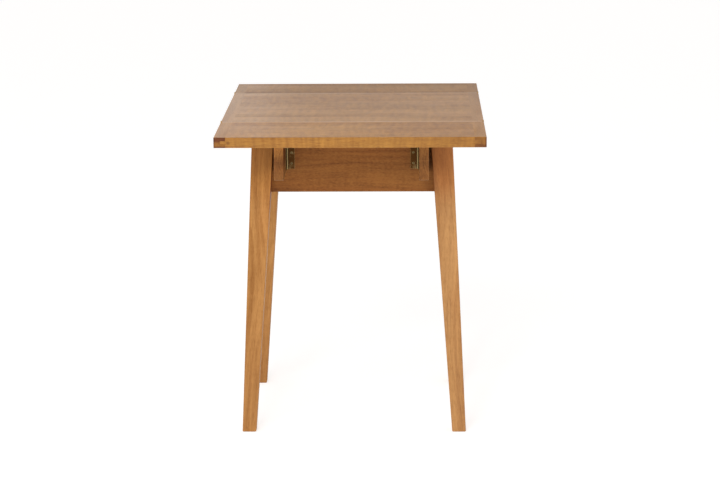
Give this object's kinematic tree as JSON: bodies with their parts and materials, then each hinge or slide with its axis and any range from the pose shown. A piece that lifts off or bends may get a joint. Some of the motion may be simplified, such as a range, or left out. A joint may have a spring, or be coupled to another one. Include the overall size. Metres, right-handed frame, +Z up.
{
  "type": "side table",
  "caption": "Extending side table with a fixed centre top, hinged front and rear leaves that fold over, swinging support brackets, an apron frame and splayed tapered legs.",
  "frame": {"origin": "on the floor, below the middle of the top", "axes": "+Z up; +X to the right along the joint lines; +Y from front to back"},
  "size_m": [0.6, 0.767, 0.731],
  "materials": {
    "top_boards": "satin oiled, grain along the table's width",
    "top_ends": "satin oiled, grain front to back",
    "legs": "satin oiled, upright grain",
    "aprons": "satin oiled",
    "brackets": "satin oiled",
    "blocks": "unfinished, sawn",
    "hinge_brass": "aged, dark in the hollows",
    "screws": "aged"
  },
  "bodies": {
    "frame": {"apron_front": "aprons", "apron_left": "aprons", "apron_rear": "aprons", "apron_right": "aprons", "bracket_hinge_apron_leaf_front_left": "hinge_brass", "bracket_hinge_apron_leaf_front_right": "hinge_brass", "bracket_hinge_apron_leaf_rear_left": "hinge_brass", "bracket_hinge_apron_leaf_rear_right": "hinge_brass", "bracket_hinge_apron_screws": "screws", "bracket_hinge_pins": "hinge_brass", "centre_end_left": "top_ends", "centre_end_right": "top_ends", "centre_panel": "top_boards", "corner_block_front_left": "blocks", "corner_block_front_right": "blocks", "corner_block_rear_left": "blocks", "corner_block_rear_right": "blocks", "corner_block_screws": "screws", "leaf_hinge_centre_plate_front_left": "hinge_brass", "leaf_hinge_centre_plate_front_right": "hinge_brass", "leaf_hinge_centre_plate_rear_left": "hinge_brass", "leaf_hinge_centre_plate_rear_right": "hinge_brass", "leaf_hinge_centre_screws": "screws", "leaf_hinge_pins": "hinge_brass", "leg_front_left": "legs", "leg_front_right": "legs", "leg_rear_left": "legs", "leg_rear_right": "legs", "tabletop_button_screws": "screws", "tabletop_buttons": "blocks"},
    "front_leaf": {"front_leaf_end_left": "top_ends", "front_leaf_end_right": "top_ends", "front_leaf_panel": "top_boards", "front_leaf_screws": "screws", "leaf_hinge_leaf_plate_front_left": "hinge_brass", "leaf_hinge_leaf_plate_front_right": "hinge_brass"},
    "rear_leaf": {"leaf_hinge_leaf_plate_rear_left": "hinge_brass", "leaf_hinge_leaf_plate_rear_right": "hinge_brass", "rear_leaf_end_left": "top_ends", "rear_leaf_end_right": "top_ends", "rear_leaf_panel": "top_boards", "rear_leaf_screws": "screws"},
    "bracket_front_left": {"bracket_front_left": "brackets", "bracket_hinge_bracket_leaf_front_left": "hinge_brass", "bracket_screws_front_left": "screws"},
    "bracket_front_right": {"bracket_front_right": "brackets", "bracket_hinge_bracket_leaf_front_right": "hinge_brass", "bracket_screws_front_right": "screws"},
    "bracket_rear_left": {"bracket_hinge_bracket_leaf_rear_left": "hinge_brass", "bracket_rear_left": "brackets", "bracket_screws_rear_left": "screws"},
    "bracket_rear_right": {"bracket_hinge_bracket_leaf_rear_right": "hinge_brass", "bracket_rear_right": "brackets", "bracket_screws_rear_right": "screws"}
  },
  "joints": [
    {"name": "front_leaf_fold", "type": "hinge", "parent": "frame", "child": "front_leaf", "pos_m": [0, -0.18325, 0.72825], "axis": [-1, 0, 0], "range_deg": [0, 180]},
    {"name": "rear_leaf_fold", "type": "hinge", "parent": "frame", "child": "rear_leaf", "pos_m": [0, 0.23075, 0.72825], "axis": [1, 0, 0], "range_deg": [0, 180]},
    {"name": "bracket_swing_front_left", "type": "hinge", "parent": "frame", "child": "bracket_front_left", "pos_m": [-0.14945, -0.17305, 0.642], "axis": [0, 0, 1], "range_deg": [0, 90]},
    {"name": "bracket_swing_front_right", "type": "hinge", "parent": "frame", "child": "bracket_front_right", "pos_m": [0.14945, -0.17305, 0.642], "axis": [0, 0, -1], "range_deg": [0, 90]},
    {"name": "bracket_swing_rear_left", "type": "hinge", "parent": "frame", "child": "bracket_rear_left", "pos_m": [-0.14945, 0.17305, 0.642], "axis": [0, 0, -1], "range_deg": [0, 90]},
    {"name": "bracket_swing_rear_right", "type": "hinge", "parent": "frame", "child": "bracket_rear_right", "pos_m": [0.14945, 0.17305, 0.642], "axis": [0, 0, 1], "range_deg": [0, 90]}
  ]
}
